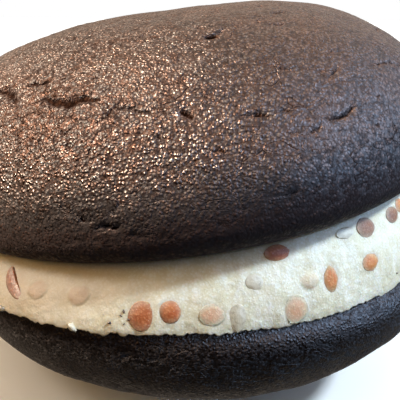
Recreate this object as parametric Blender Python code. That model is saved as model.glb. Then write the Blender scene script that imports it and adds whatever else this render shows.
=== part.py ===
"""A whoopie pie: two soft cocoa cakes round a thick cream filling with candy beads in it.

Blender 4.5 script, metres, +Z up. The lower cake lies upside down on a small flat spot, the
cream lies on it in a wedge, and the upper cake leans back on the cream. The origin is on the
table under the middle of the pie, and the side where the cream shows best faces -Y.
"""
import math
import random
from dataclasses import dataclass

import bmesh
import bpy
import numpy as np
from mathutils import Matrix, Vector, noise

MM = 0.001

# A gap between pieces that touch.
GAP = 0.3 * MM


@dataclass(frozen=True)
class Cake:
    """One baked cake in its own frame: its flat side is on z = 0 and its crown is up."""

    radius: float        # widest ring, mean
    height: float        # from the flat side to the crown
    edge: float          # rounding from the flat side to the widest ring
    roundness: float     # superellipse power of the radius
    fullness: float      # superellipse power of the height
    oval: float          # how much longer one way than the other, as a share of the radius
    oval_turn: float     # direction of the longer way, radians
    lump: float          # height of its broad swellings
    seed: int


LOWER = Cake(radius=45.0 * MM, height=28.0 * MM, edge=3.5 * MM, roundness=2.15, fullness=1.79,
             oval=0.036, oval_turn=math.radians(50), lump=0.5 * MM, seed=5)
UPPER = Cake(radius=44.2 * MM, height=28.0 * MM, edge=4.1 * MM, roundness=2.85, fullness=2.14,
             oval=0.012, oval_turn=math.radians(-50), lump=0.45 * MM, seed=2)

# Where the cakes are. The lower one's crown is cut off by the table it lies on.
LOWER_TOP = 25.0 * MM
LOWER_PLACE = (0.0, 0.3 * MM)
UPPER_PLACE = (0.4 * MM, -0.2 * MM, 32.8 * MM)
UPPER_LEAN_X = math.radians(-8.1)     # lifts the +X side
UPPER_LEAN_Y = math.radians(-0.6)

# The cream: its lower lip hangs a little over the lower cake's shoulder, and its upper brim
# is tucked in under the upper cake's rounded edge.
LIP_PLACE = Vector((-0.8 * MM, 0, 0))
LIP_RADIUS = 45.6 * MM
LIP_HEIGHT = 24.4 * MM
LIP_PULLED_IN = 1.3 * MM              # on the -X side, where the cream is thin
LIP_RAGGED = 0.35 * MM
LIP_OVERHANG = 1.5 * MM
BRIM_INSET = 3.6 * MM                 # inside the upper cake's widest ring
BRIM_PULLED_OUT = 2.0 * MM            # on the -X side
CREAM_BULGE = 0.7 * MM
CREAM_FLAT = 39.5 * MM                # its faces are flat out to here, then follow the cakes

COCOA = (0.028, 0.014, 0.009)
IVORY = (0.82, 0.78, 0.66)

# Size of the facets.
UPPER_FACET = 2.6 * MM
LOWER_FACET = 3.4 * MM
CRACK_FACET = 0.6 * MM
OUTLINE_SAMPLES = 400
WALL_COLUMNS = 96
WALL_LEVELS = 5
WALL_PROBE = 0.05                     # levels above and below, to find the wall's tilt


@dataclass(frozen=True)
class Crack:
    """A crack, pit or furrow in a cake's skin, placed on the dome by two angles."""

    azimuth: float       # degrees round the cake, from +X towards +Y
    rise: float          # degrees above the flat side, seen from its middle
    length: float
    turn: float          # degrees from level to its heading
    width: float
    depth: float


UPPER_CRACKS = [
    Crack(284.2, 38.6, 2.4 * MM, 5, 1.4 * MM, 1.0 * MM),    # the deep pit near the crown
    Crack(283.4, 41.8, 3.0 * MM, -75, 0.9 * MM, 0.6 * MM),  # and two cracks that run into it
    Crack(287.2, 39.5, 2.8 * MM, 26, 0.9 * MM, 0.6 * MM),
    Crack(243, 32, 3.6 * MM, -13, 1.2 * MM, 0.6 * MM),
    Crack(236, 30, 6.5 * MM, -22, 3.0 * MM, 0.5 * MM),      # broad furrows on the left
    Crack(253, 27, 9.2 * MM, -8, 2.6 * MM, 0.6 * MM),
    Crack(262, 25, 3.6 * MM, 57, 0.9 * MM, 0.45 * MM),
    Crack(266, 25, 6.0 * MM, -15, 0.9 * MM, 0.5 * MM),
    Crack(275, 23, 1.7 * MM, -42, 1.3 * MM, 0.6 * MM),
    Crack(270, 20, 2.4 * MM, -25, 0.8 * MM, 0.4 * MM),
    Crack(279, 17, 2.6 * MM, -21, 0.8 * MM, 0.4 * MM),
    Crack(269, 16, 2.0 * MM, -49, 0.8 * MM, 0.4 * MM),
    Crack(286, 21, 3.8 * MM, -28, 1.0 * MM, 0.6 * MM),
    Crack(291, 21, 2.4 * MM, -29, 0.8 * MM, 0.5 * MM),
    Crack(301, 18, 5.8 * MM, 2, 1.0 * MM, 0.7 * MM),
    Crack(295, 17, 3.2 * MM, 18, 0.8 * MM, 0.5 * MM),
    Crack(294, 28, 5.6 * MM, -20, 0.8 * MM, 0.4 * MM),
    Crack(304, 25, 4.2 * MM, -2, 0.8 * MM, 0.4 * MM),
    Crack(318, 24, 6.6 * MM, -11, 0.8 * MM, 0.4 * MM),
    Crack(312, 44, 3.0 * MM, -24, 0.9 * MM, 0.4 * MM),
    Crack(304, 39, 3.6 * MM, -19, 0.9 * MM, 0.4 * MM),
    Crack(257, 9, 3.0 * MM, -17, 0.9 * MM, 0.5 * MM),       # flaking near the rim
    Crack(261, 8, 2.8 * MM, -16, 1.1 * MM, 0.6 * MM),
    Crack(265, 6, 3.2 * MM, -14, 0.8 * MM, 0.4 * MM),
]
LOWER_CRACKS = [
    Crack(98, 6, 3.0 * MM, 6, 0.9 * MM, 0.45 * MM),
    Crack(94, 6, 3.4 * MM, -4, 0.9 * MM, 0.45 * MM),
]
# Cracks on the side that faces away, drawn by rule.
BACK_CRACKS = 10
BACK_AZIMUTHS = (-25, 215)

CRACK_WANDER = math.radians(38)
CRACK_STEP = 0.5 * MM

# Size of the skin's lumps, and how far from a cake's edge or resting spot they fade out.
BROAD_LUMPS = 15 * MM
SMALL_LUMPS = 6 * MM
EDGE_FADE = 5 * MM
FLAT_FADE = 3 * MM


@dataclass(frozen=True)
class Bead:
    """A candy bead in the cream's wall."""

    azimuth: float       # degrees round the pie
    level: float         # 0 at the cream's lip, 1 at its brim
    width: float
    tall: float
    turn: float = 0      # degrees, anticlockwise seen from outside


FRONT_BEADS = [
    Bead(241.5, 0.57, 2.4 * MM, 5.0 * MM, turn=53),
    Bead(246.6, 0.55, 2.6 * MM, 2.5 * MM),
    Bead(254.4, 0.54, 2.6 * MM, 2.4 * MM),
    Bead(265.7, 0.29, 3.1 * MM, 3.2 * MM),
    Bead(269.9, 0.34, 2.4 * MM, 2.4 * MM),
    Bead(276.4, 0.27, 2.7 * MM, 2.3 * MM),
    Bead(280.5, 0.19, 2.1 * MM, 3.0 * MM),
    Bead(283, 0.61, 2.2 * MM, 1.7 * MM),
    Bead(287.3, 0.88, 3.5 * MM, 1.9 * MM),
    Bead(290, 0.20, 2.9 * MM, 3.0 * MM),
    Bead(292.5, 0.50, 2.5 * MM, 1.9 * MM),
    Bead(296.7, 0.45, 2.2 * MM, 3.0 * MM),
    Bead(301.2, 0.87, 2.9 * MM, 1.3 * MM),
    Bead(306.2, 0.84, 3.3 * MM, 2.5 * MM),
    Bead(305.7, 0.46, 2.8 * MM, 2.1 * MM),
    Bead(314.5, 0.82, 3.0 * MM, 2.1 * MM),
]
# The other beads are drawn by rule, round the rest of the wall.
BEHIND = (318, 599)                   # azimuths, degrees
BEAD_WALL = 33 * MM * MM              # wall area for each bead
BEAD_SIZES = (2.0 * MM, 3.1 * MM)
BEAD_APART = 0.5 * MM
BEAD_MARGIN = 0.3 * MM
BEAD_PROUD = 0.5 * MM
BEAD_SUNK = 0.35 * MM                 # from the wall in to the bead's middle
BEAD_SIDES = 8
BEAD_BANDS = 4


# Domes ---------------------------------------------------------------------------------------

def dome_radius(cake, angle):
    """The widest ring's radius at a plan angle."""
    return cake.radius * (1 + cake.oval * np.cos(2 * (angle - cake.oval_turn)))


def dome_outline(cake, step, top):
    """Points (radius, height) up the dome's side, from the rim of its flat side up to top."""
    turn = np.linspace(0, math.pi / 2, OUTLINE_SAMPLES)
    out = np.r_[cake.radius - cake.edge * (1 - np.sin(turn)),
                cake.radius * np.cos(turn) ** (2 / cake.roundness)]
    up = np.r_[cake.edge * (1 - np.cos(turn)),
               cake.edge + (cake.height - cake.edge) * np.sin(turn) ** (2 / cake.fullness)]
    below = up < top
    out = np.append(out[below], np.interp(top, up, out))
    up = np.append(up[below], top)
    along = np.r_[0, np.cumsum(np.hypot(np.diff(out), np.diff(up)))]
    stops = np.linspace(0, along[-1], round(along[-1] / step) + 1)
    return np.c_[np.interp(stops, along, out), np.interp(stops, along, up)]


def onto_dome(cake, points):
    """Points above the edge, moved straight out from the middle of the dome onto its skin."""
    points = np.atleast_2d(points)
    angle = np.arctan2(points[:, 1], points[:, 0])
    out = np.hypot(points[:, 0], points[:, 1]) / dome_radius(cake, angle)
    up = np.maximum(points[:, 2] - cake.edge, 0) / (cake.height - cake.edge)
    low = np.full(len(points), 0.2)
    high = np.full(len(points), 5.0)
    for _ in range(40):
        middle = (low + high) / 2
        inside = (middle * out) ** cake.roundness + (middle * up) ** cake.fullness < 1
        low = np.where(inside, middle, low)
        high = np.where(inside, high, middle)
    scale = ((low + high) / 2)[:, None]
    centre = np.array([0, 0, cake.edge])
    above = points[:, 2] > cake.edge
    moved = centre + (points - centre) * scale
    return np.where(above[:, None], moved, points)


def dome_normals(cake, points):
    """Outward directions of the skin above the edge; level outward ones below it."""
    angle = np.arctan2(points[:, 1], points[:, 0])
    radius = dome_radius(cake, angle)
    out = np.hypot(points[:, 0], points[:, 1]) / radius
    up = np.clip((points[:, 2] - cake.edge) / (cake.height - cake.edge), 0, None)
    level = cake.roundness * np.maximum(out, 1e-6) ** (cake.roundness - 1) / radius
    rising = cake.fullness * up ** (cake.fullness - 1) / (cake.height - cake.edge)
    normals = np.c_[level * np.cos(angle), level * np.sin(angle), rising]
    return normals / np.linalg.norm(normals, axis=1)[:, None]


def crack_line(cake, crack, draw):
    """Points along a crack on the dome's skin, and how far along each is, from -1 to 1."""
    azimuth = math.radians(crack.azimuth)
    rise = math.radians(crack.rise)
    level = math.cos(rise) * cake.radius
    start = np.array([level * math.cos(azimuth), level * math.sin(azimuth),
                      math.sin(rise) * cake.radius])
    start = onto_dome(cake, start)[0]
    steps = max(1, round(crack.length / 2 / CRACK_STEP))
    line = [(start, 0.0)]
    for way in (-1, 1):
        point = start
        for k in range(1, steps + 1):
            heading = math.radians(crack.turn) + draw.uniform(-CRACK_WANDER, CRACK_WANDER)
            normal = dome_normals(cake, point[None])[0]
            east = np.cross([0, 0, 1], normal)
            east /= np.linalg.norm(east)
            uphill = np.cross(normal, east)
            stride = way * CRACK_STEP * (math.cos(heading) * east + math.sin(heading) * uphill)
            point = onto_dome(cake, point + stride)[0]
            line.append((point, way * k / steps))
    return line


def crack_lines(cake, cracks):
    """Every crack's points as arrays: places, half widths and depths, thinner to its ends."""
    draw = random.Random(cake.seed)
    places, halves, depths = [], [], []
    for crack in cracks:
        for point, along in crack_line(cake, crack, draw):
            taper = math.sqrt(max(0.0, 1 - (0.92 * along) ** 2))
            places.append(point)
            halves.append(crack.width / 2 * taper * draw.uniform(0.85, 1.15))
            depths.append(crack.depth * taper * draw.uniform(0.8, 1.2))
    return np.array(places), np.array(halves), np.array(depths)


def back_cracks(cake):
    """Cracks by rule on the side that faces away."""
    draw = random.Random(cake.seed + 100)
    low, high = BACK_AZIMUTHS
    stride = (high - low) / BACK_CRACKS
    cracks = []
    for k in range(BACK_CRACKS):
        azimuth = low + (k + draw.random()) * stride
        rise = draw.uniform(12, 42)
        length = draw.uniform(2.5, 6) * MM
        width = draw.uniform(0.8, 1.1) * MM
        cracks.append(Crack(azimuth, rise, length, draw.uniform(-30, 20), width, 0.5 * MM))
    return cracks


def crack_depth(points, lines):
    """How deep the cracks go at each point."""
    places, halves, depths = lines
    depth = np.zeros(len(points))
    for place, half, deep in zip(places, halves, depths):
        apart = np.linalg.norm(points - place, axis=1) / half
        depth = np.maximum(depth, deep * np.exp(-apart ** 2))
    return depth


def swelling(cake, points):
    """Broad soft lumps and dips of the skin."""
    shift = Vector((cake.seed, 0, 0))
    return np.array([cake.lump * (noise.noise(Vector(p) / BROAD_LUMPS + shift)
                                  + 0.4 * noise.noise(Vector(p) / SMALL_LUMPS + shift))
                     for p in points])


# Meshes --------------------------------------------------------------------------------------

def add_ring(bm, radii, angles, height):
    return [bm.verts.new((r * math.cos(a), r * math.sin(a), height))
            for r, a in zip(radii, angles)]


def stitch(bm, inner, outer):
    """Triangles between two rings that may differ in count; both start at angle 0."""
    i = j = 0
    while i < len(inner) or j < len(outer):
        a = inner[i % len(inner)]
        b = outer[j % len(outer)]
        if i * len(outer) < j * len(inner):
            i += 1
            bm.faces.new((a, b, inner[i % len(inner)]))
        else:
            j += 1
            bm.faces.new((a, b, outer[j % len(outer)]))


def fan(bm, ring, middle):
    """Triangles from a ring to one point."""
    centre = bm.verts.new(middle)
    for a, b in zip(ring, ring[1:] + ring[:1]):
        bm.faces.new((a, b, centre))


def dome_mesh(cake, facet, top):
    """A closed dome of even triangles, without its lumps and cracks."""
    bm = bmesh.new()
    rings = []
    for out, up in dome_outline(cake, facet, top):
        if out > facet / 2:
            count = max(6, round(2 * math.pi * out / facet))
            turn = math.pi / count * (len(rings) % 2)
            angles = turn + np.linspace(0, 2 * math.pi, count, endpoint=False)
            radii = out * dome_radius(cake, angles) / cake.radius
            rings.append(add_ring(bm, radii, angles, up))
    for below, above in zip(rings, rings[1:]):
        stitch(bm, below, above)
    fan(bm, rings[0], (0, 0, 0))
    fan(bm, rings[-1], (0, 0, top))
    bmesh.ops.recalc_face_normals(bm, faces=bm.faces)
    return bm


def refine(cake, bm, lines):
    """Splits the facets near the cracks until they are small enough to show them."""
    places, halves, _ = lines
    for _ in range(3):
        edges = []
        for edge in bm.edges:
            a, b = edge.verts
            middle = np.array((a.co + b.co) / 2)
            near = (np.linalg.norm(places - middle, axis=1) - halves).min()
            wanted = 1.4 * CRACK_FACET + 1.6 * max(0, near)
            if edge.calc_length() > wanted and middle[2] > cake.edge:
                edges.append(edge)
        bmesh.ops.subdivide_edges(bm, edges=edges, cuts=1)
        bmesh.ops.triangulate(bm, faces=bm.faces)


def shape_skin(cake, bm, lines, top):
    """Moves the skin's points onto the dome, then in and out by its lumps and cracks."""
    points = np.array([v.co for v in bm.verts])
    skin = points[:, 2] > cake.edge
    fade = np.clip((points[:, 2] - cake.edge) / EDGE_FADE, 0, 1)
    if top < cake.height:
        skin &= points[:, 2] < top - GAP
        fade *= np.clip((top - points[:, 2]) / FLAT_FADE, 0, 1)
    points[skin] = onto_dome(cake, points[skin])
    normals = dome_normals(cake, points)
    offset = fade * swelling(cake, points) - crack_depth(points, lines)
    points[skin] += (normals * offset[:, None])[skin]
    for vertex, point in zip(bm.verts, points):
        vertex.co = point


def new_object(name, bm, material):
    mesh = bpy.data.meshes.new(name)
    bm.to_mesh(mesh)
    bm.free()
    mesh.shade_smooth()
    mesh.set_sharp_from_angle(angle=math.radians(50))
    mesh.materials.append(material)
    obj = bpy.data.objects.new(name, mesh)
    bpy.context.scene.collection.objects.link(obj)
    return obj


def new_material(name, colour, roughness):
    material = bpy.data.materials.new(name)
    material.use_nodes = True
    shader = material.node_tree.nodes["Principled BSDF"]
    shader.inputs["Base Color"].default_value = (*colour, 1)
    shader.inputs["Roughness"].default_value = roughness
    shader.inputs["Metallic"].default_value = 0
    return material


def make_cake(name, cake, cracks, facet, top, material):
    lines = crack_lines(cake, cracks)
    bm = dome_mesh(cake, facet, top)
    refine(cake, bm, lines)
    shape_skin(cake, bm, lines, top)
    return new_object(name, bm, material)


# Cream ---------------------------------------------------------------------------------------

def upper_frame():
    """The upper cake's place and lean as a matrix."""
    up = Vector((math.sin(UPPER_LEAN_X), math.sin(UPPER_LEAN_Y), 1)).normalized()
    east = Vector((0, 1, 0)).cross(up).normalized()
    north = up.cross(east)
    turn = Matrix((east, north, up)).transposed().to_4x4()
    return Matrix.Translation(UPPER_PLACE) @ turn


def clear_of_edge(cake, x, y):
    """Height in a cake's frame of what keeps the gap to its flat side and rounded edge."""
    out = math.hypot(x, y) * cake.radius / dome_radius(cake, math.atan2(y, x))
    past = min(cake.edge, max(0, out - cake.radius + cake.edge))
    return cake.edge - math.sqrt((cake.edge + GAP) ** 2 - past ** 2)


def lower_face(azimuth, out):
    """A point of the cream's under side: on the lower cake, then hanging level past it."""
    x = LIP_PLACE.x + out * math.cos(azimuth)
    y = LIP_PLACE.y + out * math.sin(azimuth)
    up = LOWER_TOP - clear_of_edge(LOWER, x - LOWER_PLACE[0], LOWER_PLACE[1] - y)
    return Vector((x, y, max(up, LIP_HEIGHT - LIP_RAGGED)))


def upper_face(azimuth, inset):
    """A point of the cream's upper side, so far inside the upper cake's widest ring."""
    out = dome_radius(UPPER, azimuth) - inset
    x = out * math.cos(azimuth)
    y = out * math.sin(azimuth)
    return upper_frame() @ Vector((x, y, clear_of_edge(UPPER, x, y)))


def lip_radius(azimuth):
    return LIP_RADIUS - LIP_PULLED_IN * max(0, -math.cos(azimuth)) ** 3


def brim_inset(azimuth):
    return BRIM_INSET - BRIM_PULLED_OUT * max(0, -math.cos(azimuth)) ** 3


def wall_point(azimuth, level):
    """A point of the cream's wall; level is 0 at the lip and 1 at the brim."""
    outward = Vector((math.cos(azimuth), math.sin(azimuth), 0))
    ragged = noise.noise(outward * 5) + 0.7 * noise.noise(outward * 11)
    lip = LIP_PLACE + outward * (lip_radius(azimuth) + LIP_RAGGED * ragged)
    lip.z = LIP_HEIGHT + LIP_RAGGED * noise.noise(outward * 8 + Vector((9, 0, 0)))
    brim = upper_face(azimuth, brim_inset(azimuth))
    bulge = outward * CREAM_BULGE * math.sin(math.pi * level)
    return lip.lerp(brim, level) + bulge


def wall_height(azimuth):
    return (wall_point(azimuth, 1) - wall_point(azimuth, 0)).length


def wall_tilt(azimuth, level):
    """How far the wall's outward side faces up, as an angle."""
    rise = wall_point(azimuth, level + WALL_PROBE) - wall_point(azimuth, level - WALL_PROBE)
    outward = Vector((math.cos(azimuth), math.sin(azimuth), 0))
    return math.atan2(-rise.dot(outward), rise.z)


def cream_mesh():
    bm = bmesh.new()
    angles = [2 * math.pi * k / WALL_COLUMNS for k in range(WALL_COLUMNS)]
    rings = [[lower_face(a, CREAM_FLAT) for a in angles],
             [lower_face(a, (CREAM_FLAT + lip_radius(a) - LIP_OVERHANG) / 2) for a in angles],
             [lower_face(a, lip_radius(a) - LIP_OVERHANG) for a in angles]]
    rings += [[wall_point(a, k / WALL_LEVELS) for a in angles] for k in range(WALL_LEVELS + 1)]
    flat_inset = UPPER.radius - CREAM_FLAT
    rings += [[upper_face(a, (brim_inset(a) + flat_inset) / 2) for a in angles],
              [upper_face(a, flat_inset) for a in angles]]
    rings = [[bm.verts.new(point) for point in ring] for ring in rings]
    for below, above in zip(rings, rings[1:]):
        stitch(bm, below, above)
    fan(bm, rings[0], lower_face(0, 0))
    fan(bm, rings[-1], upper_frame() @ Vector((0, 0, -GAP)))
    bmesh.ops.recalc_face_normals(bm, faces=bm.faces)
    return bm


# Beads ---------------------------------------------------------------------------------------

def beads_behind():
    """Beads by rule, spread evenly over the wall that the front ones leave."""
    draw = random.Random(8)
    taken = [(wall_point(math.radians(b.azimuth), b.level), b.tall) for b in FRONT_BEADS]
    beads = []
    azimuth, last = BEHIND
    while azimuth < last:
        size = draw.uniform(*BEAD_SIZES)
        room = wall_height(math.radians(azimuth))
        margin = (size / 2 + BEAD_MARGIN) / room
        for _ in range(12):
            level = margin + (1 - 2 * margin) * draw.random()
            place = wall_point(math.radians(azimuth), level)
            clear = all((place - other).length > (size + width) / 2 + BEAD_APART
                        for other, width in taken)
            if clear and margin < 0.5:
                beads.append(Bead(azimuth, level, size, size * draw.uniform(0.85, 1.0)))
                taken.append((place, size))
                break
        azimuth += math.degrees(BEAD_WALL / room / LIP_RADIUS) * draw.uniform(0.7, 1.3)
    return beads


def bead_object(name, bead, material):
    """A flat round bead, its short way pointing out of the wall."""
    azimuth = math.radians(bead.azimuth)
    across = BEAD_PROUD + BEAD_SUNK
    spread = 1 / math.sqrt(1 - (BEAD_SUNK / across) ** 2)
    bm = bmesh.new()
    bmesh.ops.create_uvsphere(bm, u_segments=BEAD_SIDES, v_segments=BEAD_BANDS, radius=1)
    bmesh.ops.scale(bm, vec=(bead.tall / 2 * spread, bead.width / 2 * spread, across),
                    verts=bm.verts)
    turn = Matrix.Rotation(math.radians(bead.turn), 3, "Z")
    bmesh.ops.rotate(bm, matrix=turn, verts=bm.verts)
    obj = new_object(name, bm, material)
    obj.rotation_euler = (0, math.pi / 2 - wall_tilt(azimuth, bead.level), azimuth)
    outward = obj.rotation_euler.to_matrix() @ Vector((0, 0, 1))
    obj.location = wall_point(azimuth, bead.level) - outward * BEAD_SUNK
    return obj


def keep_largest(mesh):
    """Drops loose scraps and sealed hollows, which are shells of their own in the mesh."""
    bm = bmesh.new()
    bm.from_mesh(mesh)
    left = set(bm.verts)
    shells = []
    while left:
        shell = set()
        newest = {left.pop()}
        while newest:
            shell |= newest
            newest = {e.other_vert(v) for v in newest for e in v.link_edges} - shell
        shells.append(shell)
        left -= shell
    for shell in sorted(shells, key=len)[:-1]:
        bmesh.ops.delete(bm, geom=list(shell), context="VERTS")
    bm.to_mesh(mesh)
    bm.free()


def add_beads(cream):
    """Joins the beads to the cream by one union."""
    beads = bpy.data.collections.new("beads")
    bpy.context.scene.collection.children.link(beads)
    for k, bead in enumerate(FRONT_BEADS + beads_behind()):
        obj = bead_object(f"bead_{k}", bead, cream.data.materials[0])
        bpy.context.scene.collection.objects.unlink(obj)
        beads.objects.link(obj)
    union = cream.modifiers.new("beads", "BOOLEAN")
    union.operation = "UNION"
    union.solver = "EXACT"
    union.operand_type = "COLLECTION"
    union.collection = beads
    bpy.context.view_layer.update()
    joined = cream.evaluated_get(bpy.context.evaluated_depsgraph_get())
    joined = bpy.data.meshes.new_from_object(joined)
    cream.modifiers.clear()
    cream.data = joined
    keep_largest(joined)
    for obj in list(beads.objects):
        bpy.data.objects.remove(obj)
    bpy.data.collections.remove(beads)


def main():
    for obj in list(bpy.data.objects):
        bpy.data.objects.remove(obj)

    crust = new_material("lower_crust", COCOA, 0.6)
    lower = make_cake("bottom_cake", LOWER, LOWER_CRACKS, LOWER_FACET, LOWER_TOP, crust)
    lower.rotation_euler.x = math.pi
    lower.location = (*LOWER_PLACE, LOWER_TOP)

    cream = new_object("cream_filling", cream_mesh(), new_material("cream", IVORY, 0.5))
    add_beads(cream)

    crust = new_material("upper_crust", COCOA, 0.5)
    cracks = UPPER_CRACKS + back_cracks(UPPER)
    upper = make_cake("top_cake", UPPER, cracks, UPPER_FACET, UPPER.height, crust)
    upper.matrix_world = upper_frame()


main()
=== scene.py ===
"""The looks of a whoopie pie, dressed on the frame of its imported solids.

Blender 4.5 script, metres, +Z up. Each cake and the cream is a fine mesh of the same form as its
solid, with grain, cracks and a ragged lip. The candy beads and crumbs are pieces of their own.
"""

import random
from dataclasses import dataclass
from math import atan2, cos, degrees, exp, hypot, pi, radians, sin, sqrt

import bpy
import numpy as np
from mathutils import Matrix, Vector, kdtree, noise


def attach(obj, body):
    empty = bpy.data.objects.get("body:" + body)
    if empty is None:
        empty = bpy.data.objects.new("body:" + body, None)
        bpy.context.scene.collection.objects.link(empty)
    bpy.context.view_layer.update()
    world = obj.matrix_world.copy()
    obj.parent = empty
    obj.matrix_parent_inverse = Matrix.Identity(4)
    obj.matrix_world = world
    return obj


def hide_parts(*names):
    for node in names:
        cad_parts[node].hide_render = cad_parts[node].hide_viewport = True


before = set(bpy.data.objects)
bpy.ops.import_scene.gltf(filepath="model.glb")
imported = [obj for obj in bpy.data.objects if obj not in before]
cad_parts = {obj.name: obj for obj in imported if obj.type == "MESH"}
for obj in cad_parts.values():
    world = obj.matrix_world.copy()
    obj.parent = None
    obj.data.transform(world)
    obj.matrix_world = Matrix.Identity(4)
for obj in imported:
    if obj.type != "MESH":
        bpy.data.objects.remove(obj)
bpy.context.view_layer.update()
MM = 0.001

# The pie's form, as its solids have it ----


@dataclass(frozen=True)
class Cake:
    """One baked cake in its own frame: its flat side is on z = 0 and its crown is up."""

    radius: float
    height: float
    edge: float          # rounding from the flat side to the widest ring
    roundness: float     # superellipse power of the radius
    fullness: float      # superellipse power of the height
    oval: float
    oval_turn: float
    lump: float          # height of its broad swellings
    seed: int
    front: float         # plan angle, in its own frame, of the side that faces -Y


LOWER = Cake(radius=45.0 * MM, height=28.0 * MM, edge=3.5 * MM, roundness=2.15, fullness=1.79,
             oval=0.036, oval_turn=radians(50), lump=0.5 * MM, seed=5,
             front=radians(90))
UPPER = Cake(radius=44.2 * MM, height=28.0 * MM, edge=4.1 * MM, roundness=2.85, fullness=2.14,
             oval=0.012, oval_turn=radians(-50), lump=0.45 * MM, seed=2,
             front=radians(-90))
GAP = 0.3 * MM
LOWER_TOP = 25.0 * MM
LOWER_PLACE = (0.0, 0.3 * MM)
UPPER_PLACE = (0.4 * MM, -0.2 * MM, 32.8 * MM)
UPPER_LEAN_X = radians(-8.1)
UPPER_LEAN_Y = radians(-0.6)
LIP_PLACE = Vector((-0.8 * MM, 0, 0))
LIP_RADIUS = 45.6 * MM
LIP_HEIGHT = 24.4 * MM
LIP_PULLED_IN = 1.3 * MM
LIP_RAGGED = 0.35 * MM
LIP_OVERHANG = 1.5 * MM
BRIM_INSET = 3.6 * MM
BRIM_PULLED_OUT = 2.0 * MM
WALL_PROBE = 0.05
CREAM_BULGE = 0.7 * MM
CREAM_FLAT = 39.5 * MM
BROAD_LUMPS = 15 * MM
SMALL_LUMPS = 6 * MM
EDGE_FADE = 5 * MM
FLAT_FADE = 3 * MM

# Fineness of the meshes.
OUTLINE_SAMPLES = 4000
UPPER_STEP = 0.33 * MM            # from ring to ring
LOWER_STEP = 0.40 * MM
COLUMN_SHARE = 1.36               # of a step, from point to point round a ring
CROWDING = 0.32                   # draws the points of a ring towards the front
FLAT_STEP = 4 * MM                # on the flat sides, which don't show
WALL_COLUMNS = 980
WALL_LEVELS = 44
BEAD_MESH = (16, 26)              # bands and sides
SHARD_MESH = (7, 9)
CRUMB_MESH = (5, 7)

# Grain on the crust. Along X, in millimetres, it goes from coarse on the left to fine.
COARSE_AT = -15
FINE_AT = 20
UPPER_GRAIN = 0.16 * MM
LOWER_GRAIN = 0.12 * MM
PEBBLE = 0.95 * MM
PEBBLE_BEND = 0.3 * MM
PEBBLE_BENDS = 1.2 * MM
SMALL_GRAIN = 0.8 * MM
GRAIN_PATCH = 11 * MM
# The skin in this band is darkened as painted shade, where the side turns away from the light.
SHADED_RIM_BAND = 6.5 * MM               # up the side, where the skin is darker and smoother

# The cream's ragged lip and the relief of its wall, in millimetres.
SCALLOP, SMALL_SCALLOP, DRIP = 1.4, 0.8, 3.6
SCALLOP_HANG, DRIP_HANG = 0.75, 0.55
LIP_TUCK = 0.14
BURIED_RISE = 0.25
# Of each kind of lump in the wall: its size, its height, a shift of the noise and a stretch up.
WALL_RELIEF = [(7, 0.16, 4.0, 1), (2.4, 0.11, 0.0, 0.3), (1.1, 0.06, 0.0, 1), (0.5, 0.035, 0.0, 1)]
# Shares of the wall's height: the reach of the lip's teeth, of its tuck and of the brim's fade.
HANG_LEVELS, TUCK_LEVELS, BRIM_LEVELS = 0.08, 0.06, 0.12


@dataclass(frozen=True)
class Crack:
    """A crack, pit or furrow in a cake's skin, placed on the dome by two angles."""

    azimuth: float       # degrees round the cake, from +X towards +Y
    rise: float          # degrees above the flat side, seen from its middle
    length: float        # millimetres, as are width and depth
    turn: float          # degrees from level to its heading
    width: float
    depth: float


# Azimuth, rise, length, turn, width and depth.
UPPER_CRACKS = [Crack(*row) for row in [
    (284.2, 38.6, 2.4, 5, 1.4, 1.0), (283.4, 41.8, 3.0, -75, 0.9, 0.6),
    (287.2, 39.5, 2.8, 26, 0.9, 0.6), (243, 32, 3.6, -13, 1.2, 0.6),
    (236, 30, 6.5, -22, 3.0, 0.5), (253, 27, 9.2, -8, 2.6, 0.6), (262, 25, 3.6, 57, 0.9, 0.45),
    (266, 25, 6.0, -15, 0.9, 0.5), (275, 23, 1.7, -42, 1.3, 0.6), (270, 20, 2.4, -25, 0.8, 0.4),
    (279, 17, 2.6, -21, 0.8, 0.4), (269, 16, 2.0, -49, 0.8, 0.4), (286, 21, 3.8, -28, 1.0, 0.6),
    (291, 21, 2.4, -29, 0.8, 0.5), (301, 18, 5.8, 2, 1.0, 0.7), (295, 17, 3.2, 18, 0.8, 0.5),
    (294, 28, 5.6, -20, 0.8, 0.4), (304, 25, 4.2, -2, 0.8, 0.4), (318, 24, 6.6, -11, 0.8, 0.4),
    (312, 44, 3.0, -24, 0.9, 0.4), (304, 39, 3.6, -19, 0.9, 0.4), (257, 9, 3.0, -17, 0.9, 0.5),
    (261, 8, 2.8, -16, 1.1, 0.6), (265, 6, 3.2, -14, 0.8, 0.4),
]]
LOWER_CRACKS = [Crack(*row) for row in [
    (98, 6, 3.0, 6, 0.9, 0.45), (94, 6, 3.4, -4, 0.9, 0.45),
]]
BACK_CRACKS = 10
BACK_AZIMUTHS = (-25, 215)
CRACK_WANDER = radians(38)
CRACK_STEP = 0.5 * MM
# Cracks and pits are darkened with painted shade, where their shadow falls.
CRACK_CORE = 0.24 * MM            # least half width of a crack's dark middle
CORE_SHARE = 0.43                 # of a wider crack's half width
PIT_DEPTH = 0.9 * MM              # a pit this deep is dark all over
BROAD_HALF = 0.7 * MM             # a crack this wide has a full dip round its middle
NARROW_HALF = 0.55 * MM           # a narrower crack is fainter
DIP_DEPTH, CUT_DEPTH = 0.45, 0.4  # shares of its depth: its dip, and the sharp cut in that
CRACK_REACH = 2.2                 # how far its dip goes, in half widths
SHARP = 2.2                       # of its depth; past that half width its cut is paler

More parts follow.
